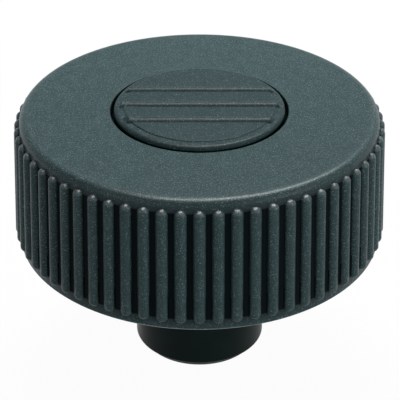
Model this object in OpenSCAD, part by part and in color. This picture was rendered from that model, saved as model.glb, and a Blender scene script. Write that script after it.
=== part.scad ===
// Knurled knob: a ribbed plastic grip with a long hub, a moulded-in threaded bush that the hub
// stands on, and a push-in cover cap with three raised bars.
// Millimetres. The axis is Z. Z = 0 is the bush's end face, where the knob seats on a machine.

/* [Rim] */
// Diameter over the ribs, at the rim's lower edge
rim_d = 50; // [44:0.5:60]
// Height of the rim, from its lower edge to the top face
rim_h = 18.45; // [15:0.05:26]
// Mould draft of the ribbed wall, which is wider at its foot
draft_deg = 2; // [0.5:0.25:3]
// Radius of the rounded edge between the wall and the top face
top_edge_r = 1.1; // [0.5:0.05:1.6]
// Chamfer of the rim's lower outer edge
foot_chamfer = 0.25; // [0.1:0.05:0.5]
// Thickness of the ribbed wall, without its ribs
rim_wall = 2.6; // [2:0.1:4]
// Thickness of the top plate
plate_t = 2.8; // [2.2:0.1:4]
// Radius inside, where the wall meets the top plate
inner_fillet = 1.5; // [0.5:0.1:2.5]

/* [Ribs] */
// Number of grip ribs round the rim
rib_count = 65; // [40:1:72]
// Radius of a rib's round section
rib_r = 0.78; // [0.6:0.01:0.9]
// How far a rib stands out from the wall
rib_proud = 0.7; // [0.4:0.01:0.75]
// Height of the plain band between the rounded edge and the upper tips of the ribs
rib_top_gap = 0.2; // [0.1:0.1:3]
// Height of the plain band below the ribs
rib_foot_gap = 1.1; // [0.6:0.1:4]

/* [Hub] */
// Diameter of the hub
hub_d = 17.7; // [17:0.1:20]
// How far the hub reaches below the rim
hub_drop = 16.45; // [8:0.05:24]
// Radius of the hub's lower edge
hub_edge_r = 0.4; // [0.2:0.05:0.6]
// Number of webs between the hub and the wall
web_count = 6; // [3:1:10]
// Thickness of a web
web_t = 1.8; // [1.2:0.1:2.5]
// Height of the webs' lower edges above the rim's lower edge
web_foot_gap = 4; // [2:0.1:7]

/* [Threaded bush] */
// Nominal diameter of the thread
thread_d = 10; // [8:1:10]
// Diameter of the hole that the thread is cut in
tap_d = 8.5; // [6.5:0.1:8.8]
// Length of the bush
bush_l = 22; // [18:0.5:24]
// Diameter over the bush's knurled bands
bush_d = 13.2; // [12.4:0.1:14]
// Depth of the knurl's grooves
knurl_depth = 0.4; // [0.2:0.05:0.6]
// Number of knurl grooves round the bush
knurl_count = 30; // [16:1:40]
// Diameter of the collar at the bush's end face
collar_d = 15.8; // [15:0.1:16.4]
// Thickness of the collar
collar_t = 2.4; // [1.5:0.1:3]
// How far the collar stands out of the hub
collar_proud = 0.85; // [0.4:0.05:1.2]
// Chamfer of the collar's outer edge
collar_chamfer = 0.1; // [0.05:0.05:0.3]
// How much wider than the thread the chamfer at its mouth starts, on the radius
mouth_run = 0.2; // [0.1:0.05:0.5]
// Width of the groove between the knurled bands
groove_w = 3; // [2:0.5:5]
// Depth of the groove between the knurled bands
groove_depth = 0.9; // [0.6:0.1:1.3]

/* [Cap seat] */
// Depth of the recess, down to the ledge that the cap rests on
ledge_depth = 1.7; // [1.4:0.1:2.4]
// Diameter of the pocket that takes the cap's skirt
pocket_d = 19.6; // [18.6:0.1:20.2]
// Depth of the pocket below the top face
pocket_depth = 6.2; // [6:0.1:7]
// Wall round the pocket
pocket_wall = 2.2; // [1.8:0.1:3]
// Thickness of the pocket's floor
pocket_floor = 2.4; // [1.8:0.1:3]
// Diameter of the well between the pocket and the bush
well_d = 11; // [10:0.5:12]

/* [Cover cap] */
// Diameter of the cap
cap_d = 22.5; // [21.6:0.1:22.8]
// Height of the cap's outer step above the top face
step_rise = 0.55; // [0.3:0.05:0.8]
// Radius of the outer step's rounded edge
step_edge_r = 0.55; // [0.3:0.05:0.7]
// Diameter of the flat middle of the cap
flat_d = 19.7; // [18:0.1:20]
// Height of the flat middle above the outer step
flat_rise = 0.13; // [0.08:0.01:0.2]
// Radius of the round-over between the flat middle and the outer step
flat_edge_r = 0.15; // [0.1:0.01:0.25]
// Thickness of the cap in its middle
cap_t = 1.5; // [1.2:0.1:1.9]
// Number of raised bars across the cap
bar_count = 3; // [1:1:4]
// Distance between the raised bars
bar_pitch = 4.3; // [3:0.1:5]
// Width of a raised bar
bar_w = 1.25; // [1.1:0.05:2]
// Height of a raised bar
bar_h = 0.4; // [0.2:0.05:0.5]
// Distance from a bar's foot to the rounded edge of the outer step
bar_end_gap = 0.05; // [0.05:0.05:1.5]
// Length of the cap's skirt below the ledge
skirt_l = 3.8; // [3.4:0.1:4.2]
// Thickness of the cap's skirt
skirt_t = 1.3; // [1:0.1:1.6]
// Number of slots that split the skirt into spring fingers
slot_count = 4; // [2:1:6]
// Width of a slot
slot_w = 1.6; // [1:0.1:2.5]
// How far the snap bead stands out of the skirt
snap_h = 0.35; // [0.2:0.05:0.45]
// Radius of the snap bead's round section
snap_r = 0.6; // [0.5:0.05:0.7]
// Height of the snap bead's middle above the skirt's end
snap_rise = 1.2; // [0.8:0.1:1.6]

/* [Fits] */
// Gap between the cap's edge and the wall of its recess
recess_gap = 0.4; // [0.3:0.05:0.8]
// Gap between the skirt and the pocket's wall
skirt_gap = 0.12; // [0.08:0.01:0.2]
// Gap round the snap bead in its groove
snap_gap = 0.1; // [0.05:0.01:0.15]

/* [Hidden] */
$fn = 96;

// Heights
hub_end_z = collar_proud;
rim_z = hub_end_z + hub_drop;
top_z = rim_z + rim_h;
plate_z = top_z - plate_t;
ledge_z = top_z - ledge_depth;
pocket_z = top_z - pocket_depth;
cup_z = pocket_z - pocket_floor;
web_z = rim_z + web_foot_gap;
step_z = top_z + step_rise;
flat_z = step_z + flat_rise;

// Radii
hub_r = hub_d / 2;
wall_foot_r = rim_d / 2 - rib_proud;
cup_r = pocket_d / 2 + pocket_wall;
recess_r = cap_d / 2 + recess_gap;
skirt_r = pocket_d / 2 - skirt_gap;
bar_r = (bar_w * bar_w / 4 + bar_h * bar_h) / (2 * bar_h);
step_edge_c = cap_d / 2 - step_edge_r;
bar_end_r = step_edge_c - bar_end_gap;

// Middle of the snap bead, in its groove of the pocket's wall
snap_z = ledge_z - skirt_l + snap_rise;
snap_c = skirt_r + snap_h - snap_r;

// Bush: the groove lies half way up its knurled part
groove_z = (collar_t + bush_l - groove_w) / 2;
mouth_chamfer = (thread_d - tap_d) / 2 + mouth_run;

// A cut runs this far past the face that it opens, and a web this far into what it ties
past = 1;

// Radius of the drafted wall, without ribs, at a height
function wall_r(z) = wall_foot_r - (z - rim_z) * tan(draft_deg);

// Half section of a solid of revolution under a flat top, with a drafted side and a rounded edge.
// foot_r is the side's radius at foot_z, and the side leans inwards by the draft as it rises.
module drafted_section(foot_r, foot_z, head_z, edge_r) {
    edge_z = head_z - edge_r;
    side_r = foot_r - (edge_z - foot_z) * tan(draft_deg);
    edge_c = side_r - edge_r / cos(draft_deg);
    polygon([
        [0, foot_z],
        [foot_r, foot_z],
        [edge_c + edge_r * cos(draft_deg), edge_z + edge_r * sin(draft_deg)],
        [edge_c, head_z],
        [0, head_z]
    ]);
    translate([edge_c, edge_z]) circle(edge_r);
}

// One grip rib: a round bar with ball ends that lies along the drafted wall
module rib() {
    sink = rib_r - rib_proud;
    tip = sqrt(rib_r * rib_r - sink * sink);
    low_z = rim_z + rib_foot_gap + tip * cos(draft_deg);
    high_z = top_z - top_edge_r - rib_top_gap - tip * cos(draft_deg);
    length = (high_z - low_z) / cos(draft_deg);
    translate([wall_r(low_z) - sink * cos(draft_deg), 0, low_z - sink * sin(draft_deg)])
        rotate([0, -draft_deg, 0])
            rotate_extrude($fn = 32)
                intersection() {
                    union() {
                        circle(rib_r);
                        square([rib_r, length]);
                        translate([0, length]) circle(rib_r);
                    }
                    translate([0, -rib_r]) square([rib_r, length + 2 * rib_r]);
                }
}

// The ribs, spaced evenly round the rim, with one at the front
module ribs() {
    for (i = [0 : rib_count - 1])
        rotate([0, 0, -90 + i * 360 / rib_count]) rib();
}

// Half section of the rim before it is hollowed
module rim_section() {
    difference() {
        drafted_section(wall_foot_r, rim_z, top_z, top_edge_r);
        polygon([
            [wall_foot_r - foot_chamfer, rim_z],
            [wall_foot_r + past, rim_z - past],
            [wall_foot_r + past, rim_z + foot_chamfer + past]
        ]);
    }
}

// Half section of the hollow between the hub and the ribbed wall
module hollow_section() {
    open_z = rim_z - past;
    difference() {
        drafted_section(wall_r(open_z) - rim_wall, open_z, plate_z, inner_fillet);
        translate([0, open_z - past]) square([hub_r, rim_h]);
        translate([0, cup_z]) square([cup_r, rim_h]);
    }
}

// Half section of the hub, solid, with its lower edge rounded
module hub_section() {
    translate([0, hub_end_z]) square([hub_r - hub_edge_r, rim_h]);
    translate([0, hub_end_z + hub_edge_r]) square([hub_r, cup_z - hub_end_z]);
    translate([hub_r - hub_edge_r, hub_end_z + hub_edge_r]) circle(hub_edge_r);
}

// Half section of the space that the cap and a long screw's end reach into
module cap_seat_section() {
    translate([0, ledge_z]) square([recess_r, ledge_depth + past]);
    translate([0, pocket_z]) square([pocket_d / 2, pocket_depth]);
    translate([0, bush_l - past]) square([well_d / 2, pocket_z - bush_l + 2 * past]);
    translate([snap_c, snap_z]) circle(snap_r + snap_gap);
}

// Webs that tie the hub and the pocket's wall to the ribbed wall
module webs() {
    inner_r = wall_foot_r - rim_wall;
    for (i = [0 : web_count - 1])
        rotate([0, 0, i * 360 / web_count])
            translate([hub_r - past, -web_t / 2, web_z])
                cube([inner_r - hub_r + 2 * past, web_t, plate_z - web_z + past]);
}

// Outline of a knurled band, with grooves between flat-topped teeth
module knurl_outline() {
    step = 360 / knurl_count;
    polygon([
        for (i = [0 : knurl_count - 1])
            for (corner = [[0, 1], [0.5, 1], [0.75, 0]])
                (bush_d / 2 - knurl_depth * (1 - corner[1]))
                    * [cos((i + corner[0]) * step), sin((i + corner[0]) * step)]
    ]);
}

// Outside of the bush, which the hub is moulded round
module bush_outside() {
    rotate_extrude()
        polygon([
            [0, 0],
            [collar_d / 2 - collar_chamfer, 0],
            [collar_d / 2, collar_chamfer],
            [collar_d / 2, collar_t],
            [0, collar_t]
        ]);
    difference() {
        translate([0, 0, collar_t - past]) linear_extrude(bush_l - collar_t + past) knurl_outline();
        translate([0, 0, groove_z]) difference() {
            cylinder(d = bush_d + 2 * past, h = groove_w);
            translate([0, 0, -past]) cylinder(r = bush_d / 2 - groove_depth, h = groove_w + 2 * past);
        }
    }
}

// Grip, hub and cap seat, moulded as one piece of glass-filled plastic
module knob_body() {
    color([0.22, 0.26, 0.27])
        difference() {
            union() {
                difference() {
                    union() {
                        // The seam of this revolved wall lies in a groove, clear of every rib
                        rotate([0, 0, -90 + 180 / rib_count]) rotate_extrude() rim_section();
                        ribs();
                    }
                    rotate_extrude() hollow_section();
                }
                rotate_extrude() hub_section();
                webs();
            }
            rotate_extrude() cap_seat_section();
            bush_outside();
        }
}

// Steel bush with a knurled outside, moulded into the hub and tapped right through
module hub_insert() {
    color([0.12, 0.13, 0.13])
        difference() {
            bush_outside();
            translate([0, 0, -past]) cylinder(d = tap_d, h = bush_l + 2 * past);
            translate([0, 0, -past])
                cylinder(r1 = tap_d / 2 + mouth_chamfer + past, r2 = tap_d / 2, h = mouth_chamfer + past);
        }
}

// Half section of the cap: flat middle, outer step, skirt and snap bead
module cap_section() {
    // Plate
    translate([0, flat_z - cap_t]) square([step_edge_c, step_z - flat_z + cap_t]);
    translate([0, ledge_z]) square([cap_d / 2, step_z - step_edge_r - ledge_z]);
    translate([step_edge_c, step_z - step_edge_r]) circle(step_edge_r);
    // Flat middle with its round-over
    translate([0, step_z - step_edge_r]) square([flat_d / 2, flat_z - step_z + step_edge_r]);
    translate([0, step_z - step_edge_r])
        square([flat_d / 2 + flat_edge_r, flat_z - flat_edge_r - step_z + step_edge_r]);
    translate([flat_d / 2, flat_z - flat_edge_r]) circle(flat_edge_r);
    // Skirt
    translate([0, ledge_z - skirt_l]) square([skirt_r, skirt_l + past]);
    translate([snap_c, snap_z]) circle(snap_r);
}

// Half section of the space that the raised bars fill. Its 45 degree flank slopes their ends.
module bar_section() {
    shoulder = step_edge_r / 2;
    polygon([
        [0, ledge_z],
        [bar_end_r + shoulder, ledge_z],
        [bar_end_r + shoulder, step_z - shoulder],
        [0, step_z + bar_end_r]
    ]);
}

// Push-in cap that closes the well, with three raised bars across its face
module cover_cap() {
    color([0.2, 0.24, 0.25])
        difference() {
            union() {
                rotate_extrude() cap_section();
                intersection() {
                    for (i = [0 : bar_count - 1])
                        translate([0, (i - (bar_count - 1) / 2) * bar_pitch, flat_z + bar_h - bar_r])
                            rotate([0, 90, 0]) cylinder(r = bar_r, h = cap_d, center = true);
                    rotate_extrude() bar_section();
                }
            }
            translate([0, 0, ledge_z - skirt_l - past])
                cylinder(r = skirt_r - skirt_t, h = flat_z - cap_t - ledge_z + skirt_l + past);
            for (i = [0 : slot_count - 1])
                rotate([0, 0, (i + 0.5) * 360 / slot_count])
                    translate([0, -slot_w / 2, ledge_z - skirt_l - past])
                        cube([cap_d, slot_w, skirt_l + past]);
        }
}

knob_body();
hub_insert();
cover_cap();
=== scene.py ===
# %% [markdown]
# # A knurled knob in grained plastic
# The knob is a hand grip: a ribbed rim, a long hub that stands on a threaded steel bush, and a
# round cap pushed into the top. Its solids come packed from the part's source. This lesson
# dresses them: it works out finer surfaces from the same sizes, gives each one the finish of
# the real material, and lights them softly on a pale floor.

import math

import bmesh
import bpy
import numpy as np
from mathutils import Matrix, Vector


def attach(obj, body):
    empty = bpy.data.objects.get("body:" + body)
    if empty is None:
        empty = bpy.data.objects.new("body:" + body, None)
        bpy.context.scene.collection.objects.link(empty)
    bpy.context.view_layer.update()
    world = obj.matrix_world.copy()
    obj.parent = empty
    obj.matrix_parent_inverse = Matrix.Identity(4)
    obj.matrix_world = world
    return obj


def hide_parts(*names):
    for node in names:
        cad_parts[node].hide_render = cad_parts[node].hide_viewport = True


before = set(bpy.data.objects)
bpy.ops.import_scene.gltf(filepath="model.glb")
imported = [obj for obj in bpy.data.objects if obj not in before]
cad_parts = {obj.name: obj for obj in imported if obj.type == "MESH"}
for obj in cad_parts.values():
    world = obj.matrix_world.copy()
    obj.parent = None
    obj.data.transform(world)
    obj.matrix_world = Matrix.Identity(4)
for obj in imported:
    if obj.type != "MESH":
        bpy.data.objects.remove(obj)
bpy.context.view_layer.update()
print("solids:", sorted(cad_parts))

# %% [markdown]
# ## Sizes
# All sizes below are in millimetres, as on a drawing, and a mesh gets its metres only when it
# is made. The heights count from the bush's end face, which is the frame's floor.

# %% Sizes of the knob
MM = 0.001

# Heights: the hub's end, the rim's foot, the top face, and below it the plate's underside, the
# cap's ledge, the pocket's floor, the cup under that floor, and the webs' lower edges
HUB_END = 0.85
RIM_FOOT = HUB_END + 16.45
TOP = RIM_FOOT + 18.45
PLATE = TOP - 2.8
LEDGE = TOP - 1.7
POCKET = TOP - 6.2
CUP = POCKET - 2.4
WEB_FOOT = RIM_FOOT + 4.0

# Radii: the wall without its ribs, outside and inside at its foot, then the hub and the cup
DRAFT = math.radians(2)
WALL_R = 24.3
INNER_WALL_R = WALL_R - 2.6
HUB_R = 8.85
CUP_R = 12.0
print("height to the top face:", round(TOP, 2), "mm")


def wall_r(z, foot_r=WALL_R):
    """Radius of a drafted wall at a height: the foot's radius less the rise times tan(draft)."""
    return foot_r - (z - RIM_FOOT) * math.tan(DRAFT)


# %% [markdown]
# ## Camera
# A knob like this is shown from a little above, close enough for the ribs to spread in
# perspective. The camera stands 202 mm in front of the axis and looks down by 30.8 degrees,
# through a long lens, so nothing has to be shifted in the frame.

# %% Place the camera
CAMERA_SIDE = 0.00007
CAMERA_BACK = 0.2020
CAMERA_HEIGHT = 0.1422
LOOK_DOWN = math.radians(30.79)

camera_data = bpy.data.cameras.new("camera")
camera_data.lens = 156.1
camera_data.sensor_width = 36.0
camera_data.clip_start = 0.01
camera_data.clip_end = 20.0
camera = bpy.data.objects.new("camera", camera_data)
camera.location = (CAMERA_SIDE, -CAMERA_BACK, CAMERA_HEIGHT)
camera.rotation_euler = (math.pi / 2 - LOOK_DOWN, 0.0, 0.0)
bpy.context.scene.collection.objects.link(camera)
bpy.context.scene.camera = camera
print("camera at", [round(v, 4) for v in camera.location])

# %% [markdown]
# ## Surfaces from numbers
# Every piece here is a set of patches. A patch is a grid of points that a short formula gives,
# or a ring of triangles between two circles with different counts of points. The patches
# share their border points, so joining equal points closes the skin.


# %% Helpers: patches
def revolve(path, angles):
    """Carries (radius, height) points round the axis: x = r cos a, y = r sin a, z = height.

    The angles are one row for the whole path, or one row for each of its points.
    """
    path = np.asarray(path, float)
    radius = path[:, :1]
    turned = np.broadcast_to(angles, (len(path), np.shape(angles)[-1]))
    height = np.broadcast_to(path[:, 1:2], turned.shape)
    return np.stack([radius * np.cos(turned), radius * np.sin(turned), height], axis=-1)


def grid(points, closed=True):
    """Quads between the neighbouring points of a grid; closed joins the last column to the first."""
    rows, columns = points.shape[:2]
    index = np.arange(rows * columns).reshape(rows, columns)
    if closed:
        index = np.concatenate([index, index[:, :1]], axis=1)
    quads = np.stack([index[:-1, :-1], index[:-1, 1:], index[1:, 1:], index[1:, :-1]], axis=-1)
    return points.reshape(-1, 3), quads.reshape(-1, 4)


def zipper(first, second):
    """Triangles between two rings: both are walked by angle, and each step takes one more point."""
    rings = []
    angles = []
    for ring in (first, second):
        angle = np.arctan2(ring[:, 1], ring[:, 0]) % (2 * np.pi)
        order = np.argsort(angle)
        rings.append(ring[order])
        angles.append(angle[order])
    n, m = len(first), len(second)
    on_first = np.argsort(np.concatenate(angles), kind="stable") < n
    i = np.cumsum(on_first)
    j = np.cumsum(~on_first)
    a = np.where(on_first, (i - 2) % n, n + (j - 2) % m)
    b = np.where(on_first, (i - 1) % n, n + (j - 1) % m)
    c = np.where(on_first, n + (j - 1) % m, (i - 1) % n)
    return np.concatenate(rings), np.stack([a, b, c], axis=-1)


def flat_face(points):
    """One flat face whose corners are the given points in order."""
    return points, np.arange(len(points)).reshape(1, -1)


# %% Helper: a piece from its patches
# In metres: points nearer than WELD are joined, and edges shorter than SLIVER are dissolved.
# Edges that turn by more than SHARP are shaded as edges.
WELD = 2e-6
SLIVER = 1e-7
SHARP = math.radians(35)


def make_piece(name, patches):
    """Joins patches into one closed mesh in metres, turns its faces outwards and prints its volume."""
    points = np.concatenate([p for p, _ in patches]) * MM
    starts = np.cumsum([0] + [len(p) for p, _ in patches])
    corners = [(faces + start) for (_, faces), start in zip(patches, starts)]
    loop_vertices = np.concatenate([c.ravel() for c in corners])
    sizes = np.concatenate([np.full(len(c), c.shape[1]) for c in corners])
    mesh = bpy.data.meshes.new(name)
    mesh.vertices.add(len(points))
    mesh.vertices.foreach_set("co", points.astype(np.float32).ravel())
    mesh.loops.add(len(loop_vertices))
    mesh.loops.foreach_set("vertex_index", loop_vertices.astype(np.int32))
    mesh.polygons.add(len(sizes))
    mesh.polygons.foreach_set("loop_start", (np.cumsum(sizes) - sizes).astype(np.int32))
    mesh.update(calc_edges=True)
    shape = bmesh.new()
    shape.from_mesh(mesh)
    bmesh.ops.remove_doubles(shape, verts=shape.verts, dist=WELD)
    bmesh.ops.dissolve_degenerate(shape, edges=shape.edges, dist=SLIVER)
    bmesh.ops.recalc_face_normals(shape, faces=shape.faces)
    volume = shape.calc_volume(signed=True)
    if volume < 0:
        bmesh.ops.reverse_faces(shape, faces=shape.faces)
    open_edges = sum(1 for e in shape.edges if len(e.link_faces) != 2)
    triangles = sum(len(f.verts) - 2 for f in shape.faces)
    shape.to_mesh(mesh)
    shape.free()
    mesh.shade_smooth()
    mesh.set_sharp_from_angle(angle=SHARP)
    piece = bpy.data.objects.new(name, mesh)
    bpy.context.scene.collection.objects.link(piece)
    print(f"{name}: {abs(volume) * 1e9:.1f} mm3, {triangles} triangles, {open_edges} open edges")
    return piece


# %% [markdown]
# ## The ribbed wall
# On the real knob the ribs are round bars with ball ends, cut into the mould, and the steel
# leaves a small fillet at their roots. A Boolean of 65 bars would give hard seams, so the wall
# is made as one skin: each point of a smooth drafted wall is pushed out along its normal, to
# where a blended distance to wall and bar becomes zero. The columns of the grid gather at the
# flanks of each rib, where the skin turns most.

# %% Sizes of the wall and its ribs
# What stands out farthest keeps a hair inside the box of the solids
HAIR = 0.002
TOP_EDGE_R = 1.1

# The ribs. They stand a hair less proud than the solid's, so that the skin keeps to its box.
RIB_COUNT = 65
RIB_R = 0.78
RIB_PROUD = 0.7 - HAIR
RIB_TOP_GAP = TOP_EDGE_R + 0.2
RIB_FOOT_GAP = 1.1
RIB_ROOT = 0.1
FOOT_CHAMFER = 0.25

# Columns of one rib, as shares of half the pitch, and rows of a ball end, as degrees of its turn.
# The rows next to an edge lie close to it, so that it is shaded as an edge.
RIB_STEPS = np.array([-1, -0.76, -0.69, -0.63, -0.56, -0.47, -0.36, -0.24, -0.12])
RIB_STEPS = np.concatenate([RIB_STEPS, [0], -RIB_STEPS[:0:-1]])
BALL_ROWS = np.array([84, 80, 76, 71, 65, 58, 50, 41, 31, 19, 5])
PLAIN_ROWS = 4
HALVINGS = 26

sink = RIB_R - RIB_PROUD
tip = math.sqrt(RIB_R**2 - sink**2)
rib_low = RIM_FOOT + RIB_FOOT_GAP + tip * math.cos(DRAFT)
rib_high = TOP - RIB_TOP_GAP - tip * math.cos(DRAFT)
print("pitch of the ribs:", round(2 * math.pi * WALL_R / RIB_COUNT, 2), "mm at the rim's foot")


# %% The wall without its ribs
def wall_path():
    """Points and normals of the plain wall, from the top face over the rounded edge to the foot."""
    edge_z = TOP - TOP_EDGE_R
    edge_c = wall_r(edge_z) - TOP_EDGE_R / math.cos(DRAFT)
    turn = np.linspace(np.pi / 2, DRAFT, 15)
    arc = np.stack([edge_c + TOP_EDGE_R * np.cos(turn), edge_z + TOP_EDGE_R * np.sin(turn)], axis=-1)
    arc_normal = np.stack([np.cos(turn), np.sin(turn)], axis=-1)
    ball = RIB_R * np.sin(np.radians(BALL_ROWS))
    upper = np.concatenate([[rib_high + RIB_R + 0.08, rib_high + RIB_R], rib_high + ball])
    middle = np.linspace(upper[-1], rib_low, 6)[1:-1]
    lower = np.concatenate([rib_low - ball[::-1], [rib_low - RIB_R, rib_low - RIB_R - 0.1]])
    foot = np.array([RIM_FOOT + 0.6, RIM_FOOT + FOOT_CHAMFER])
    heights = np.concatenate([upper, middle, lower, foot])
    side = np.stack([wall_r(heights), heights], axis=-1)
    side_normal = np.tile([math.cos(DRAFT), math.sin(DRAFT)], (len(side), 1))
    chamfer_r = WALL_R - FOOT_CHAMFER
    last = np.array([[chamfer_r, RIM_FOOT], [chamfer_r - 0.12, RIM_FOOT]])
    path = np.concatenate([[[edge_c - 0.3, TOP], [edge_c - 0.05, TOP]], arc, side, last])
    normal = np.concatenate([[[0, 1], [0, 1]], arc_normal, side_normal, [[0, -1], [0, -1]]])
    return path, normal


# %% How far the ribs lift the skin
def rib_height(path, normal, lateral):
    """How far the skin stands out along each normal.

    With a = height above the wall, b = distance to the rib's bar and k = the size of the fillet,
    the blended distance is min(a, b) - (k - |a - b|)^2 / 4k where a and b differ by less than k.
    Halving finds its zero.
    """
    base = revolve(path, lateral)
    out = revolve(normal, lateral)
    along = np.array([-math.sin(DRAFT), 0.0, math.cos(DRAFT)])
    start = np.array([wall_r(rib_low) - sink * math.cos(DRAFT), 0.0, rib_low - sink * math.sin(DRAFT)])
    length = (rib_high - rib_low) / math.cos(DRAFT)
    low = np.zeros(base.shape[:2])
    high = np.full(base.shape[:2], 1.0)
    for _ in range(HALVINGS):
        a = (low + high) / 2
        reach = base + out * a[..., None] - start
        share = np.clip(reach @ along, 0.0, length)
        b = np.linalg.norm(reach - share[..., None] * along, axis=-1) - RIB_R
        blend = np.maximum(RIB_ROOT - np.abs(a - b), 0.0)
        outside = np.minimum(a, b) - blend**2 / (4 * RIB_ROOT) > 0
        high = np.where(outside, a, high)
        low = np.where(outside, low, a)
    return low


# %% The ribbed wall
def ribbed_wall():
    """The wall as a grid: each column keeps its angle, and the rib height moves it outwards.

    The first and last rows lie on the flat faces and stay plain.
    """
    path, normal = wall_path()
    pitch = 2 * np.pi / RIB_COUNT
    lateral = RIB_STEPS[:-1] * pitch / 2
    raise_by = rib_height(path, normal, lateral)
    raise_by[:PLAIN_ROWS] = 0.0
    raise_by[-PLAIN_ROWS:] = 0.0
    radius = path[:, :1] + normal[:, :1] * raise_by
    height = path[:, 1:] + normal[:, 1:] * raise_by
    angles = -np.pi / 2 + pitch * np.arange(RIB_COUNT)[:, None] + lateral
    radius = np.tile(radius, (1, RIB_COUNT))
    height = np.tile(height, (1, RIB_COUNT))
    turned = angles.reshape(1, -1)
    return np.stack([radius * np.cos(turned), radius * np.sin(turned), height], axis=-1)


wall = ribbed_wall()
largest = float(np.hypot(wall[..., 0], wall[..., 1]).max())
print("wall grid:", wall.shape[:2], "largest radius", round(largest, 3))

# %% [markdown]
# ## Hub, cap seat and cored underside
# The rest of the body is a path carried round the axis: down into the cap's seat, through the
# well, over the bush's knurled outside, round the hub's end and up to the webs. Between hub
# and wall the plastic is cored out to an even thickness, and six webs tie the two together.
# Each of the six hollows is one grid whose columns fan from web to web.

# %% Sizes of the core
# Columns round the axis, and how many of them lie on each side of the middle of a web or slot
COLUMNS = 360
STRIP = 6

# The webs, half of a web's thickness, the hub's rounded edge and the fillet under the plate
WEBS = 6
WEB_HALF = 0.9
HUB_EDGE_R = 0.4
INNER_FILLET = 1.5

# The cap's recess, the pocket that its skirt snaps into, and the well below
RECESS_R = 11.65
RECESS_EDGE_R = 0.18
SEAT_R = 9.8
SKIRT_R = SEAT_R - 0.12
SKIRT_LOW = LEDGE - 3.8
SNAP_Z = SKIRT_LOW + 1.2
SNAP_R = 0.6
SNAP_C = SKIRT_R + 0.35 - SNAP_R
SNAP_GROOVE_R = SNAP_R + 0.1
WELL_R = 5.5

# The bush: knurled outside, a collar at its foot and a groove half way up its knurl
BUSH_TOP = 22.0
BUSH_R = 6.6
KNURL_DEPTH = 0.4
KNURLS = 30
COLLAR_R = 7.9
COLLAR_T = 2.4
GROOVE_W = 3.0
GROOVE_LOW = (COLLAR_T + BUSH_TOP - GROOVE_W) / 2
GROOVE_HIGH = GROOVE_LOW + GROOVE_W
GROOVE_R = BUSH_R - 0.9
print("the bush's groove runs from", round(GROOVE_LOW, 2), "to", round(GROOVE_HIGH, 2), "mm")


# %% Helpers: knurl, arcs and fanned columns
even_angles = np.arange(COLUMNS) * 2 * np.pi / COLUMNS


def knurl_radius(angles):
    """Radius of the knurled bush: half of each tooth pitch is flat, the rest is a V groove."""
    share = (angles * KNURLS / (2 * np.pi)) % 1.0
    return BUSH_R - KNURL_DEPTH * np.interp(share, [0, 0.5, 0.75, 1.0], [0, 0, 1, 0])


def arc_path(centre_r, centre_z, radius, first_deg, last_deg, count):
    """Points on a circle in the section: r = centre + radius cos t, z = centre + radius sin t."""
    turn = np.radians(np.linspace(first_deg, last_deg, count))
    return np.stack([centre_r + radius * np.cos(turn), centre_z + radius * np.sin(turn)], axis=-1)


def fan_angles(radius, parts, half_width, phase=0.0):
    """Angles of the columns at a radius, where some of them keep to strips with parallel sides.

    A strip of the given half width lies in the middle of each part and takes STRIP columns on
    each side of its middle. Its sides are at asin(half width / radius), so they stay parallel
    whatever the radius.
    """
    per_part = COLUMNS // parts
    index = (np.arange(COLUMNS) + STRIP) % per_part - STRIP
    part = np.roll(np.repeat(np.arange(parts), per_part), -STRIP)
    half = math.asin(half_width / radius)
    turn = 2 * np.pi / parts
    local = np.interp(index, [-STRIP, STRIP, per_part - STRIP], [-half, half, turn - half])
    return local + part * turn + phase


def web_angles(radius):
    """Angles of the columns at a radius, with the strips on the webs."""
    return fan_angles(radius, WEBS, WEB_HALF)


def strip_patches(skin, parts):
    """A skin cut at its strips: between two strips a grid with a flat face on each side.

    Across each strip, only the skin's first and last rows are joined.
    """
    per_part = COLUMNS // parts
    patches = []
    for part in range(parts):
        first = part * per_part
        columns = np.arange(first + STRIP, first + per_part - STRIP + 1) % COLUMNS
        patches.append(grid(skin[:, columns], closed=False))
        patches.append(flat_face(skin[:, columns[0]]))
        patches.append(flat_face(skin[:, columns[-1]]))
        strip = np.arange(first - STRIP, first + STRIP + 1) % COLUMNS
        patches.append(grid(skin[[0, -1]][:, strip], closed=False))
    return patches


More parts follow.
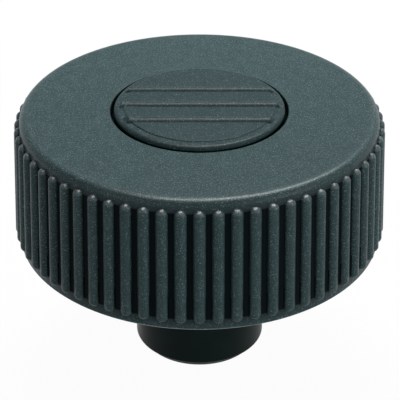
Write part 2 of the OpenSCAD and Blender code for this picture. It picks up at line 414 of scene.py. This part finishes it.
# %% Cap seat, well, bush seat and hub
def core_patches():
    """Cap seat, well, bush seat and hub, as grids that share their border points."""
    edge = RECESS_EDGE_R
    groove = math.degrees(math.acos((SEAT_R - SNAP_C) / SNAP_GROOVE_R))
    seat = np.concatenate(
        [
            [[RECESS_R + edge + 0.2, TOP], [RECESS_R + edge + 0.02, TOP]],
            arc_path(RECESS_R + edge, TOP - edge, edge, 90, 180, 6),
            [[RECESS_R, TOP - edge - 0.1], [RECESS_R, LEDGE], [SEAT_R, LEDGE]],
            arc_path(SNAP_C, SNAP_Z, SNAP_GROOVE_R, groove, -groove, 9),
            [[SEAT_R, POCKET], [WELL_R, POCKET], [WELL_R, BUSH_TOP]],
        ]
    )
    bush_rows = [(BUSH_TOP, 1), (GROOVE_HIGH, 1), (GROOVE_HIGH, 0)]
    bush_rows += [(GROOVE_LOW, 0), (GROOVE_LOW, 1), (COLLAR_T, 1)]
    knurl = knurl_radius(even_angles)
    bush = np.stack(
        [
            np.stack([r * np.cos(even_angles), r * np.sin(even_angles), 0 * r + z], axis=-1)
            for z, knurled in bush_rows
            for r in [knurl if knurled else np.full(COLUMNS, GROOVE_R)]
        ]
    )
    collar = [[COLLAR_R, COLLAR_T], [COLLAR_R, HUB_END], [COLLAR_R + 0.05, HUB_END]]
    lower = np.concatenate([revolve(seat, even_angles), bush, revolve(collar, even_angles)])
    fan = web_angles(HUB_R)
    hub = np.concatenate(
        [
            [[HUB_R - HUB_EDGE_R - 0.02, HUB_END]],
            arc_path(HUB_R - HUB_EDGE_R, HUB_END + HUB_EDGE_R, HUB_EDGE_R, -90, 0, 9),
            [[HUB_R, HUB_END + HUB_EDGE_R + 0.05], [HUB_R, RIM_FOOT], [HUB_R, WEB_FOOT]],
        ]
    )
    ring = np.stack([lower[-1], revolve(hub[:1], fan)[0]])
    return [grid(lower), grid(ring), grid(revolve(hub, fan))]


# %% Hollows and the inside of the rim
def hollow_patches():
    """The six hollows between hub, wall and webs, the webs' flanks and their lower edges."""
    edge_z = PLATE - INNER_FILLET
    edge_c = wall_r(edge_z, INNER_WALL_R) - INNER_FILLET / math.cos(DRAFT)
    foot_r = wall_r(WEB_FOOT, INNER_WALL_R)
    path = np.concatenate(
        [
            [[HUB_R, WEB_FOOT], [HUB_R, CUP], [CUP_R, CUP], [CUP_R, PLATE]],
            arc_path(edge_c, edge_z, INNER_FILLET, 90, math.degrees(DRAFT), 9),
            [[foot_r, WEB_FOOT]],
        ]
    )
    fan = np.stack([web_angles(r) for r in path[:, 0]])
    skin = revolve(path, fan)
    return strip_patches(skin, WEBS)


def inner_wall():
    """The plain inside of the rim below the webs, and the start of its lower face."""
    foot_r = wall_r(WEB_FOOT, INNER_WALL_R)
    path = [[foot_r, WEB_FOOT], [INNER_WALL_R, RIM_FOOT], [INNER_WALL_R + 0.12, RIM_FOOT]]
    return revolve(path, web_angles(foot_r))


# %% Make the body
core = core_patches()
inside = inner_wall()
seat_ring = core[0][0][:COLUMNS]
body_patches = [grid(wall), zipper(wall[0], seat_ring), *core, *hollow_patches()]
body_patches += [grid(inside), zipper(wall[-1], inside[-1])]
body = make_piece("grip_body", body_patches)
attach(body, "root")
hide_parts("knob_body")

# %% [markdown]
# ## The cover cap
# The cap is pushed into the recess to close the well. Its face has a rounded outer step, a flat
# middle barely higher, and three bars that run out over the step. Seen from above that is one
# height for each point, so the face is a disc of rows that run along the bars, and outside it
# rings whose columns keep on along the same rows. Below hang four spring fingers with a bead.

# %% Sizes of the cap
CAP_R = 11.25
STEP = TOP + 0.55
STEP_EDGE_R = 0.55
FLAT = STEP + 0.13
FLAT_R = 9.85
FLAT_EDGE_R = 0.15
CEILING = FLAT - 1.5

# Three bars with round tops, a hair lower than the solid's. Bar R is the radius of the round top.
BARS = 3
BAR_PITCH = 4.3
BAR_W = 1.25
BAR_H = 0.4 - HAIR / 2
BAR_R = (BAR_W**2 / 4 + BAR_H**2) / (2 * BAR_H)
BAR_END_R = CAP_R - STEP_EDGE_R - 0.05
BAR_FOOT = 0.14

# The disc of rows, how far from the middle its rows begin to bend outwards, and the step's rings
DISC_R = 9.7
BEND_FROM = 6.0
STEP_ROWS = 10

# The fingers under the cap
FINGERS = 4
SLOT_HALF = 0.8
SKIRT_IN = SKIRT_R - 1.3
print("radius of a bar's round top:", round(BAR_R, 3), "mm")


# %% Bars on the face
def bar_height(y):
    """Height of the nearest bar's round top: centre + sqrt(R^2 - distance^2)."""
    nearest = np.clip(np.round(y / BAR_PITCH), -(BARS // 2), BARS // 2) * BAR_PITCH
    return FLAT + BAR_H - BAR_R + np.sqrt(np.maximum(BAR_R**2 - (y - nearest) ** 2, 0.0))


def with_bars(x, y, z):
    """Raises the face to the bars, with a small fillet at their feet and sloping ends.

    The end slope is 45 degrees. With a = the face, b = the bar and k = the size of the fillet,
    the height is max(a, b) + (k - |a - b|)^2 / 4k where a and b differ by less than k.
    """
    slope = STEP + BAR_END_R - np.hypot(x, y)
    bar = np.minimum(bar_height(y), slope)
    blend = np.maximum(BAR_FOOT - np.abs(z - bar), 0.0)
    return np.maximum(z, bar) + blend**2 / (4 * BAR_FOOT)


# %% The face and its rings
def cap_rows():
    """Places of the rows: close together on the bars, and by equal angles towards the ends.

    Shares of half a bar's width place the rows on a bar. Three rows lie between two bars.
    """
    across = np.array([0.0, 0.2, 0.4, 0.56, 0.7, 0.8, 0.88, 0.96, 1.05, 1.15, 1.3, 1.6])
    across = np.concatenate([-across[:0:-1], across]) * BAR_W / 2
    on_bars = (np.arange(BARS) - BARS // 2)[:, None] * BAR_PITCH + across
    past_bars = math.asin((BAR_PITCH + across[-1] + 0.25) / DISC_R)
    ends = DISC_R * np.sin(np.linspace(past_bars, np.pi / 2, 22))
    between = np.array([-0.45, 0.0, 0.45])
    between = np.concatenate([between - BAR_PITCH / 2, between + BAR_PITCH / 2])
    return np.sort(np.concatenate([-ends, on_bars.ravel(), between, ends]))


def cap_face():
    """The disc, x = s sqrt(R^2 - y^2) along each row, and the rings from it to the cap's side.

    A column of the rings keeps its row's y near the middle. Farther out its y grows with the
    ring's radius, by a share that rises smoothly: 3 t^2 - 2 t^3.
    """
    rows = cap_rows()
    share = np.linspace(-1, 1, 41)
    x = share * np.sqrt(np.maximum(DISC_R**2 - rows[:, None] ** 2, 0.0))
    y = np.broadcast_to(rows[:, None], x.shape)
    disc = np.stack([x, y, with_bars(x, y, np.full(x.shape, FLAT))], axis=-1)
    flat_edge = arc_path(FLAT_R, FLAT - FLAT_EDGE_R, FLAT_EDGE_R, 90, 10, 7)
    outer_r = CAP_R - STEP_EDGE_R
    step_r = np.linspace(FLAT_R + FLAT_EDGE_R + 0.03, outer_r - 0.03, STEP_ROWS)
    path = np.concatenate(
        [
            [[DISC_R, FLAT], [FLAT_R - 0.03, FLAT]],
            flat_edge,
            np.stack([step_r, np.full(STEP_ROWS, STEP)], axis=-1),
            arc_path(outer_r, STEP - STEP_EDGE_R, STEP_EDGE_R, 90, 0, 13),
            [[CAP_R, STEP - STEP_EDGE_R - 0.05], [CAP_R, LEDGE], [CAP_R - 0.1, LEDGE]],
        ]
    )
    start = np.concatenate([rows, rows[-2:0:-1]])
    side = np.concatenate([np.ones(len(rows)), -np.ones(len(rows) - 2)])
    outward = np.clip((np.abs(start) - BEND_FROM) / (DISC_R - BEND_FROM), 0, 1)
    outward = outward**2 * (3 - 2 * outward)
    radius = path[:, :1]
    ring_y = start * (1 + outward * (radius / DISC_R - 1))
    ring_x = side * np.sqrt(np.maximum(radius**2 - ring_y**2, 0.0))
    ring_z = np.broadcast_to(path[:, 1:], ring_x.shape)
    raised = np.where(radius < BAR_END_R + 0.1, with_bars(ring_x, ring_y, ring_z), ring_z)
    return disc, np.stack([ring_x, ring_y, raised], axis=-1)


# %% The spring fingers
def slot_angles(radius):
    """Angles of the columns at a radius, with the strips on the slots between the fingers."""
    return fan_angles(radius, FINGERS, SLOT_HALF, np.pi / FINGERS)


def finger_patches():
    """The spring fingers below the cap, the slots between them and the hollow inside."""
    bead = math.degrees(math.acos((SKIRT_R - SNAP_C) / SNAP_R))
    path = np.concatenate(
        [
            [[SKIRT_R, LEDGE]],
            arc_path(SNAP_C, SNAP_Z, SNAP_R, bead, -bead, 9),
            [[SKIRT_R, SKIRT_LOW], [SKIRT_IN, SKIRT_LOW], [SKIRT_IN, LEDGE]],
        ]
    )
    skin = revolve(path, np.stack([slot_angles(r) for r in path[:, 0]]))
    hollow = revolve([[SKIRT_IN, LEDGE], [SKIRT_IN, CEILING]], slot_angles(SKIRT_IN))
    under = revolve([[CAP_R - 0.2, LEDGE], [SKIRT_R, LEDGE]], slot_angles(SKIRT_R))
    patches = [grid(hollow), flat_face(hollow[-1]), grid(under)]
    return patches + strip_patches(skin, FINGERS), under[0]


# %% Make the cap
disc, rings = cap_face()
fingers, under_ring = finger_patches()
cap_top = [grid(disc, closed=False), grid(rings), zipper(rings[-1], under_ring)]
cap = make_piece("push_in_cap", cap_top + fingers)
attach(cap, "root")
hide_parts("cover_cap")

# %% [markdown]
# ## The threaded bush
# The bush is turned from steel bar, knurled so that the plastic grips it, and tapped M10 with a
# pitch of 1.5 mm. The solid has a plain hole of the tapping size. Here the hole gets its thread:
# a row that climbs one pitch for each turn follows one line of the thread, so the profile is
# cut once and every turn repeats it. The rows stop at both end faces.

# %% Sizes of the bush
BUSH_COLUMNS = 240
THREAD_PITCH = 1.5
THREAD_IN = 4.25
THREAD_OUT = 5.0
MOUTH = THREAD_OUT - THREAD_IN + 0.2

# One pitch of the thread's profile: half a crest, a flank, the root, a flank and half a crest
THREAD_SHARES = np.array([0.0, 0.149, 0.438, 0.562, 0.851, 1.0])
THREAD_RADII = np.array([THREAD_IN, THREAD_IN, THREAD_OUT, THREAD_OUT, THREAD_IN, THREAD_IN])
bush_angles = np.linspace(0, 2 * np.pi, BUSH_COLUMNS + 1)
print("turns of thread:", round(BUSH_TOP / THREAD_PITCH, 1))


# %% The thread
def thread_surface():
    """The tapped hole: z = pitch (turn + share + angle / 2 pi), radius from the thread's profile.

    The chamfer at the mouth is the cone that is wider than the thread there.
    """
    turns = np.arange(-1, math.ceil(BUSH_TOP / THREAD_PITCH) + 1)
    lines = (turns[:, None] + THREAD_SHARES[:-1]).ravel()
    climb = bush_angles / (2 * np.pi)
    z = np.clip(THREAD_PITCH * (lines[:, None] + climb), 0.0, BUSH_TOP)
    share = (z / THREAD_PITCH - climb) % 1.0
    radius = np.maximum(np.interp(share, THREAD_SHARES, THREAD_RADII), THREAD_IN + MOUTH - z)
    return np.stack([radius * np.cos(bush_angles), radius * np.sin(bush_angles), z], axis=-1)


# %% The outside of the bush
def bush_patches():
    """The outside as rows of radius and height, closed by the thread's own first and last rows."""
    knurl = knurl_radius(bush_angles)
    rows = [(COLLAR_R - 0.1, 0.0), (COLLAR_R, 0.1), (COLLAR_R, COLLAR_T), (knurl, COLLAR_T)]
    rows += [(knurl, GROOVE_LOW), (GROOVE_R, GROOVE_LOW), (GROOVE_R, GROOVE_HIGH)]
    rows += [(knurl, GROOVE_HIGH), (knurl, BUSH_TOP)]
    outside = np.stack(
        [
            np.stack([r * np.cos(bush_angles), r * np.sin(bush_angles), 0 * bush_angles + z], axis=-1)
            for r, z in rows
        ]
    )
    thread = thread_surface()
    outside = np.concatenate([thread[:1], outside, thread[-1:]])
    return [grid(outside, closed=False), grid(thread, closed=False)]


# %% Make the bush
bush_piece = make_piece("threaded_bush", bush_patches())
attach(bush_piece, "root")
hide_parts("hub_insert")

# %% [markdown]
# ## Light and floor
# The key is a soft lamp above and behind the knob that lights colours only. It makes the top
# face bright and leaves the front of the ribs to the sky and the floor. A long strip lamp
# overhead, a little to the right, is seen by reflections only: it draws the gleam on the
# rounded edge, on the rib tips and along the bars, and its place can be set without changing
# any colour. Two weak lamps in front open up the flanks, the right one more than the left.
# Floor and sky show white to the camera. Bright lamps could make them white too, but would
# light the knob as well. In reflections the sky's white fades upwards, so that the top face
# keeps its dark colour. The floor still takes the knob's shadow.

# %% Lamps
LAMPS_LOOK_AT = (0.0, 0.0, 0.03)


def soft_lamp(name, place, width, length, watts):
    """A rectangular lamp at a place, turned so that its face looks at the knob's top."""
    data = bpy.data.lights.new(name, "AREA")
    data.shape = "RECTANGLE"
    data.size = width
    data.size_y = length
    data.energy = watts
    lamp = bpy.data.objects.new(name, data)
    lamp.location = place
    aim = Vector(LAMPS_LOOK_AT) - Vector(place)
    lamp.rotation_euler = aim.to_track_quat("-Z", "Y").to_euler()
    bpy.context.scene.collection.objects.link(lamp)
    return lamp


key = soft_lamp("key", (0.010, 0.158, 0.240), width=0.14, length=0.14, watts=0.74)
key.visible_glossy = False
gloss = soft_lamp("gloss", (0.036, 0.028, 0.330), width=0.09, length=0.34, watts=3.5)
gloss.visible_diffuse = False
right = soft_lamp("right", (0.51, -0.40, 0.16), width=0.35, length=0.35, watts=1.7)
left = soft_lamp("left", (-0.50, -0.42, 0.12), width=0.35, length=0.35, watts=0.48)
print("lamps in watts:", {lamp.name: round(lamp.data.energy, 2) for lamp in (key, gloss, right, left)})


# %% Helpers: materials and values in node trees
def new_paint(name):
    """A material, with its nodes, its links and its Principled shader."""
    paint = bpy.data.materials.new(name)
    paint.use_nodes = True
    tree = paint.node_tree
    return paint, tree.nodes, tree.links, tree.nodes["Principled BSDF"]


def larger_of(nodes, links, *values):
    """The largest of several values, taken two at a time."""
    last = values[0]
    for value in values[1:]:
        larger = nodes.new("ShaderNodeMath")
        larger.operation = "MAXIMUM"
        links.new(last, larger.inputs[0])
        links.new(value, larger.inputs[1])
        last = larger.outputs[0]
    return last


def map_value(nodes, links, value, low_in, high_in, low_out, high_out):
    """A Map Range node from one span of values to another; an end is a number or a socket."""
    node = nodes.new("ShaderNodeMapRange")
    ends = zip(("From Min", "From Max", "To Min", "To Max"), (low_in, high_in, low_out, high_out))
    for name, end in ends:
        if isinstance(end, float):
            node.inputs[name].default_value = end
        else:
            links.new(end, node.inputs[name])
    links.new(value, node.inputs["Value"])
    return node.outputs["Result"]


# %% Sky
# Strength as a light, and as mirrored near the horizon and high up
SKY_LIGHT = 0.10
MIRRORED_LOW = 0.9
MIRRORED_HIGH = 0.05

world = bpy.data.worlds.new("sky")
bpy.context.scene.world = world
world.use_nodes = True
sky = world.node_tree.nodes["Background"]
sky.inputs["Color"].default_value = (1, 1, 1, 1)


def sky_strength(nodes, links):
    """White to the camera, weak as a light, and to gloss and glass a white that fades upwards.

    The fade goes by the height of the ray's direction, from 0.1 to 0.6.
    """
    path = nodes.new("ShaderNodeLightPath")
    mirrored = larger_of(nodes, links, path.outputs["Is Glossy Ray"], path.outputs["Is Transmission Ray"])
    place = nodes.new("ShaderNodeTexCoord")
    parts = nodes.new("ShaderNodeSeparateXYZ")
    links.new(place.outputs["Generated"], parts.inputs["Vector"])
    fading = map_value(nodes, links, parts.outputs["Z"], 0.1, 0.6, MIRRORED_LOW, MIRRORED_HIGH)
    lit = map_value(nodes, links, mirrored, 0.0, 1.0, SKY_LIGHT, fading)
    return map_value(nodes, links, path.outputs["Is Camera Ray"], 0.0, 1.0, lit, 1.0)


sky_nodes = world.node_tree.nodes
sky_links = world.node_tree.links
sky_links.new(sky_strength(sky_nodes, sky_links), sky.inputs["Strength"])
print("sky lights at", SKY_LIGHT, "and is mirrored from", MIRRORED_LOW, "down to", MIRRORED_HIGH)

# %% Floor
# Half its side and its gap below the knob in metres, so that the two faces don't meet. The
# paint's lightness for the light it sends up and for what is seen, and the share of plain white.
FLOOR_HALF = 3.0
FLOOR_GAP = 0.00002
PAINT_LIT = 0.36
PAINT_SEEN = 0.95
WHITE_SHARE = 0.965

floor_mesh = bpy.data.meshes.new("floor")
floor_sides = [(-1, -1), (1, -1), (1, 1), (-1, 1)]
floor_corners = [(FLOOR_HALF * x, FLOOR_HALF * y, 0) for x, y in floor_sides]
floor_mesh.from_pydata(floor_corners, [], [(0, 1, 2, 3)])
floor = bpy.data.objects.new("floor", floor_mesh)
floor.location = (0, 0, -FLOOR_GAP)
bpy.context.scene.collection.objects.link(floor)


def floor_material():
    """Plain pale paint that shows nearly white to camera, mirror and glass rays.

    The share that isn't white is the paint, and the knob's shadow shows in it.
    """
    paint, nodes, links, shader = new_paint("pale_floor")
    shader.inputs["Roughness"].default_value = 0.9
    shader.inputs["Specular IOR Level"].default_value = 0.1
    white = nodes.new("ShaderNodeEmission")
    white.inputs["Color"].default_value = (1, 1, 1, 1)
    white.inputs["Strength"].default_value = 1.0
    path = nodes.new("ShaderNodeLightPath")
    rays = [path.outputs[name] for name in ("Is Camera Ray", "Is Glossy Ray", "Is Transmission Ray")]
    seen = larger_of(nodes, links, *rays)
    blend = nodes.new("ShaderNodeMixShader")
    links.new(map_value(nodes, links, seen, 0.0, 1.0, PAINT_LIT, PAINT_SEEN), shader.inputs["Base Color"])
    links.new(map_value(nodes, links, seen, 0.0, 1.0, 0.0, WHITE_SHARE), blend.inputs["Fac"])
    links.new(shader.outputs["BSDF"], blend.inputs[1])
    links.new(white.outputs["Emission"], blend.inputs[2])
    links.new(blend.outputs["Shader"], nodes["Material Output"].inputs["Surface"])
    return paint


floor_mesh.materials.append(floor_material())
print("floor side in metres:", 2 * FLOOR_HALF)

# %% [markdown]
# ## Finishes
# The knob is moulded in black glass-filled resin. Where the mould is spark-eroded, on the top,
# the wall and the cap, the surface is a fine grain that scatters light and looks grey. Where the
# mould is polished, on the hub and inside, the same resin looks nearly black. So the two
# finishes share one resin, and a group of nodes makes the grain. An image of grain would need
# seams on this shape. Noise in the object's own coordinates needs none, and it runs on from the
# flat top over the edge into the wall.
# Between the ribs, and fading out on the plain band past the rib ends, the resin is painted darker
# as shade and mirrors less, because lamps alone leave the grooves too pale. The rib tips and,
# faintly, the rounded edge get a thin coat with a broad gloss, as if the grain were rubbed a little
# there. Two numbers stored on the points of the mesh, rise for the painted shade and rub for the
# coat, fade smoothly over the skin, so the finishes meet without a line.
# The bush is turned steel with a black oxide skin. A lathe tool leaves fine rings, so its noise
# is fine along the axis and drawn out across it.

# %% Shared effect: moulded grain
# Grains per metre, on the spark-eroded and on the polished resin
COARSE_GRAIN = 4500.0
FINE_GRAIN = 1500.0


def new_group(name, sockets_in, sockets_out):
    """An empty shader node group with named sockets, each given as (name, kind, default)."""
    group = bpy.data.node_groups.new(name, "ShaderNodeTree")
    for label, kind, value in sockets_in:
        socket = group.interface.new_socket(label, in_out="INPUT", socket_type=kind)
        if value is not None:
            socket.default_value = value
    for label, kind in sockets_out:
        group.interface.new_socket(label, in_out="OUTPUT", socket_type=kind)
    return group, group.nodes.new("NodeGroupInput"), group.nodes.new("NodeGroupOutput")


def moulded_grain():
    """Fine pits, soft cloudy mottling and a few bright fibre ends, by the grain's frequency."""
    group, source, result = new_group(
        "moulded_grain",
        [("Vector", "NodeSocketVector", None), ("Grains per metre", "NodeSocketFloat", COARSE_GRAIN)],
        [("Height", "NodeSocketFloat"), ("Mottle", "NodeSocketFloat"), ("Fleck", "NodeSocketFloat")],
    )
    nodes = group.nodes
    links = group.links

    def noise(label, factor, detail):
        """A noise whose frequency is the grain's frequency times a factor."""
        scale = nodes.new("ShaderNodeMath")
        scale.operation = "MULTIPLY"
        scale.inputs[1].default_value = factor
        texture = nodes.new("ShaderNodeTexNoise")
        texture.label = label
        texture.inputs["Detail"].default_value = detail
        links.new(source.outputs["Grains per metre"], scale.inputs[0])
        links.new(scale.outputs[0], texture.inputs["Scale"])
        links.new(source.outputs["Vector"], texture.inputs["Vector"])
        return texture.outputs["Fac"]

    links.new(noise("pits", 1.0, 2.0), result.inputs["Height"])
    links.new(noise("clouds", 0.16, 3.0), result.inputs["Mottle"])
    fleck = nodes.new("ShaderNodeMapRange")
    fleck.interpolation_type = "SMOOTHSTEP"
    fleck.inputs["From Min"].default_value = 0.62
    fleck.inputs["From Max"].default_value = 0.74
    links.new(noise("fibre ends", 1.35, 0.0), fleck.inputs["Value"])
    links.new(fleck.outputs["Result"], result.inputs["Fleck"])
    return group


grain_group = moulded_grain()
print("shared groups:", [g.name for g in bpy.data.node_groups])


# %% Helpers: colours, grain and relief
def mix_colour(nodes, links, factor, first, second):
    """A Mix node between two colours, each a colour or a socket; the factor is a socket."""
    mix = nodes.new("ShaderNodeMix")
    mix.data_type = "RGBA"
    mix.clamp_factor = True
    for name, value in (("Factor", factor), ("A", first), ("B", second)):
        wanted = "VALUE" if name == "Factor" else "RGBA"
        socket = next(k for k in mix.inputs if k.name == name and k.type == wanted)
        if isinstance(value, tuple):
            socket.default_value = (*value, 1)
        else:
            links.new(value, socket)
    return next(k for k in mix.outputs if k.type == "RGBA")


def add_grain(nodes, links, grains_per_metre):
    """The shared grain at a frequency, and its mottle spread to the span from 0 to 1."""
    place = nodes.new("ShaderNodeTexCoord")
    grain = nodes.new("ShaderNodeGroup")
    grain.node_tree = grain_group
    grain.inputs["Grains per metre"].default_value = grains_per_metre
    links.new(place.outputs["Object"], grain.inputs["Vector"])
    return grain, map_value(nodes, links, grain.outputs["Mottle"], 0.3, 0.7, 0.0, 1.0)


def add_relief(nodes, links, height, strength, depth, shader):
    """Tilts a shader's normal by a height map; the depth is in metres."""
    relief = nodes.new("ShaderNodeBump")
    relief.inputs["Strength"].default_value = strength
    relief.inputs["Distance"].default_value = depth
    links.new(height, relief.inputs["Height"])
    links.new(relief.outputs["Normal"], shader.inputs["Normal"])


# %% Grained resin
# Depths of relief in metres
GRAIN_DEPTH = 0.00004
FAINT_DEPTH = 0.00002
COAT_ROUGHNESS = 0.55


def grained_plastic(name, dark, pale, fleck_colour, painted_shade_colour, bump, gloss_level, rough, smooth):
    """Spark-eroded resin: mottled colour and fibre flecks, duller in the pits than on the grains.

    Where the point attribute rise is low its colour turns to a painted shade, and where the
    attribute rub is high it gains a thin coat with a broad gloss.
    """
    paint, nodes, links, shader = new_paint(name)
    shader.inputs["Specular IOR Level"].default_value = gloss_level
    shader.inputs["Coat Roughness"].default_value = COAT_ROUGHNESS
    grain, clouds = add_grain(nodes, links, COARSE_GRAIN)
    colour = mix_colour(nodes, links, clouds, dark, pale)
    colour = mix_colour(nodes, links, grain.outputs["Fleck"], colour, fleck_colour)
    # Painted shade: where the point attribute rise is low, the colour turns to the shade colour
    rise = nodes.new("ShaderNodeAttribute")
    rise.attribute_name = "rise"
    colour = mix_colour(nodes, links, rise.outputs["Fac"], painted_shade_colour, colour)
    links.new(colour, shader.inputs["Base Color"])
    dullness = map_value(nodes, links, grain.outputs["Height"], 0.3, 0.7, rough, smooth)
    links.new(dullness, shader.inputs["Roughness"])
    rub = nodes.new("ShaderNodeAttribute")
    rub.attribute_name = "rub"
    links.new(rub.outputs["Fac"], shader.inputs["Coat Weight"])
    add_relief(nodes, links, grain.outputs["Height"], bump, GRAIN_DEPTH, shader)
    return paint


# %% Polished resin
def smooth_plastic(name, dark, pale):
    """Polished resin: nearly black, with faint flow clouds and a low, even gloss."""
    paint, nodes, links, shader = new_paint(name)
    shader.inputs["Specular IOR Level"].default_value = 0.05
    grain, clouds = add_grain(nodes, links, FINE_GRAIN)
    links.new(mix_colour(nodes, links, clouds, dark, pale), shader.inputs["Base Color"])
    links.new(map_value(nodes, links, clouds, 0.0, 1.0, 0.30, 0.40), shader.inputs["Roughness"])
    add_relief(nodes, links, grain.outputs["Height"], 0.12, FAINT_DEPTH, shader)
    return paint


# %% Turned steel
def turned_steel(name, dark, pale):
    """Black-oxide steel with the fine rings that a lathe tool leaves: noise drawn out sideways."""
    paint, nodes, links, shader = new_paint(name)
    shader.inputs["Metallic"].default_value = 1.0
    place = nodes.new("ShaderNodeTexCoord")
    stretch = nodes.new("ShaderNodeMapping")
    stretch.inputs["Scale"].default_value = (300.0, 300.0, 9000.0)
    links.new(place.outputs["Object"], stretch.inputs["Vector"])
    rings = nodes.new("ShaderNodeTexNoise")
    rings.inputs["Scale"].default_value = 1.0
    rings.inputs["Detail"].default_value = 3.0
    links.new(stretch.outputs["Vector"], rings.inputs["Vector"])
    lines = map_value(nodes, links, rings.outputs["Fac"], 0.3, 0.7, 0.0, 1.0)
    links.new(mix_colour(nodes, links, lines, dark, pale), shader.inputs["Base Color"])
    links.new(map_value(nodes, links, lines, 0.0, 1.0, 0.45, 0.32), shader.inputs["Roughness"])
    add_relief(nodes, links, rings.outputs["Fac"], 0.25, FAINT_DEPTH, shader)
    return paint


# %% Make the finishes
TOP_DARK = (0.036, 0.070, 0.075)
TOP_PALE = (0.048, 0.090, 0.096)
FLECK = (0.15, 0.21, 0.22)
# Painted shade for the floors between the ribs and the plain band by the rib ends
PAINTED_GROOVE_SHADE = (0.005, 0.010, 0.012)
CAP_DARK = (0.026, 0.051, 0.055)
CAP_PALE = (0.033, 0.064, 0.069)
CAP_FLECK = (0.10, 0.15, 0.16)
HUB_DARK = (0.003, 0.009, 0.009)
HUB_PALE = (0.005, 0.013, 0.013)
STEEL_DARK = (0.035, 0.036, 0.036)
STEEL_PALE = (0.060, 0.062, 0.062)

body_colours = (TOP_DARK, TOP_PALE, FLECK, PAINTED_GROOVE_SHADE)
# The resin between the ribs is painted in the shade colour only, with less gloss
groove_shade_colours = (PAINTED_GROOVE_SHADE, PAINTED_GROOVE_SHADE, PAINTED_GROOVE_SHADE, PAINTED_GROOVE_SHADE)
cap_colours = (CAP_DARK, CAP_PALE, CAP_FLECK, PAINTED_GROOVE_SHADE)
body_grain = grained_plastic(
    "grained_resin", *body_colours, bump=0.85, gloss_level=0.1, rough=0.40, smooth=0.26
)
groove_shade_resin = grained_plastic(
    "painted_shade_groove_resin", *groove_shade_colours, bump=0.5, gloss_level=0.02, rough=0.40, smooth=0.30
)
cap_grain = grained_plastic(
    "grained_cap_resin", *cap_colours, bump=0.25, gloss_level=0.08, rough=0.52, smooth=0.40
)
polished = smooth_plastic("polished_resin", HUB_DARK, HUB_PALE)
oxide = turned_steel("black_oxide_steel", STEEL_DARK, STEEL_PALE)
print("finishes:", [finish.name for finish in (body_grain, groove_shade_resin, cap_grain, polished, oxide)])


# %% Helpers: putting finishes on
def point_values(piece, name, values):
    """Stores one number for each point of a mesh, for the finish to read."""
    layer = piece.data.attributes.new(name, "FLOAT", "POINT")
    layer.data.foreach_set("value", np.asarray(values, np.float32))


def places_of(items, key):
    """Radius and height in millimetres of a mesh's points (key co) or of its faces (key center)."""
    places = np.empty(len(items) * 3, np.float32)
    items.foreach_get(key, places)
    places = places.reshape(-1, 3) / MM
    return np.hypot(places[:, 0], places[:, 1]), places[:, 2]


def fade(values, start, width):
    """Rises from 0 at the start to 1 over the width: clip((value - start) / width, 0, 1)."""
    return np.clip((values - start) / width, 0, 1)


def dress(piece, finishes, choice):
    """Gives a piece its finishes; the choice holds the place of one of them for each face."""
    piece.data.materials.clear()
    for finish in finishes:
        piece.data.materials.append(finish)
    piece.data.polygons.foreach_set("material_index", choice.astype(np.int32))
    print(piece.name, {f.name: int((choice == i).sum()) for i, f in enumerate(finishes)})


def inside_ribs(height):
    """How far a height lies inside the span of the ribs, negative beyond their tips."""
    return np.minimum(height - RIM_FOOT - RIB_FOOT_GAP, TOP - RIB_TOP_GAP - height)


# %% Dress the body
TIP_COAT = 0.9
EDGE_COAT = 0.12
SKIN = 0.35

# On the points: painted shade between the ribs and towards their ends, a coat on their tips and on the
# rounded edge
radius, height = places_of(body.data.vertices, "co")
proud = radius - wall_r(height)
in_ribs = fade(inside_ribs(height), -0.9, 1.9)
# rise falls from 1 on the proud skin to 0 on the groove floors and towards the rib ends, where the colour
# is painted shade
rise = 1 - in_ribs * (1 - fade(proud, 0.03, 0.22))
near_tip = fade(height, rib_high + 0.08, 0.3) * fade(proud, 0.12, 0.15)
edge_start = wall_r(TOP - TOP_EDGE_R) - TOP_EDGE_R / math.cos(DRAFT)
on_edge = fade(radius, edge_start - 0.3, 0.25) * (height > TOP - TOP_EDGE_R * 0.8)
point_values(body, "rise", rise)
point_values(body, "rub", np.maximum(TIP_COAT * near_tip, EDGE_COAT * on_edge))

# On the faces: grained outside, painted shade with less gloss between the ribs, polished on the hub and
# inside
radius, height = places_of(body.data.polygons, "center")
outer = radius > wall_r(np.maximum(height, RIM_FOOT)) - SKIN
upper = (height > TOP - TOP_EDGE_R - 0.01) & (radius > RECESS_R + 0.1)
grained = (outer & (height > RIM_FOOT + 0.02)) | upper
# The groove floors, which get the painted shade resin
groove_shade_faces = outer & (inside_ribs(height) > 0.5) & (radius < wall_r(height) + 0.1)
dress(body, [body_grain, polished, groove_shade_resin], np.where(groove_shade_faces, 2, np.where(grained, 0, 1)))

# %% Dress the cap and the bush
radius, height = places_of(cap.data.polygons, "center")
point_values(cap, "rise", np.ones(len(cap.data.vertices)))
point_values(cap, "rub", np.zeros(len(cap.data.vertices)))
dress(cap, [cap_grain, polished], np.where(height > TOP - 0.3, 0, 1))
dress(bush_piece, [oxide], np.zeros(len(bush_piece.data.polygons)))

# %% Finish
bpy.context.scene.view_settings.view_transform = "Standard"
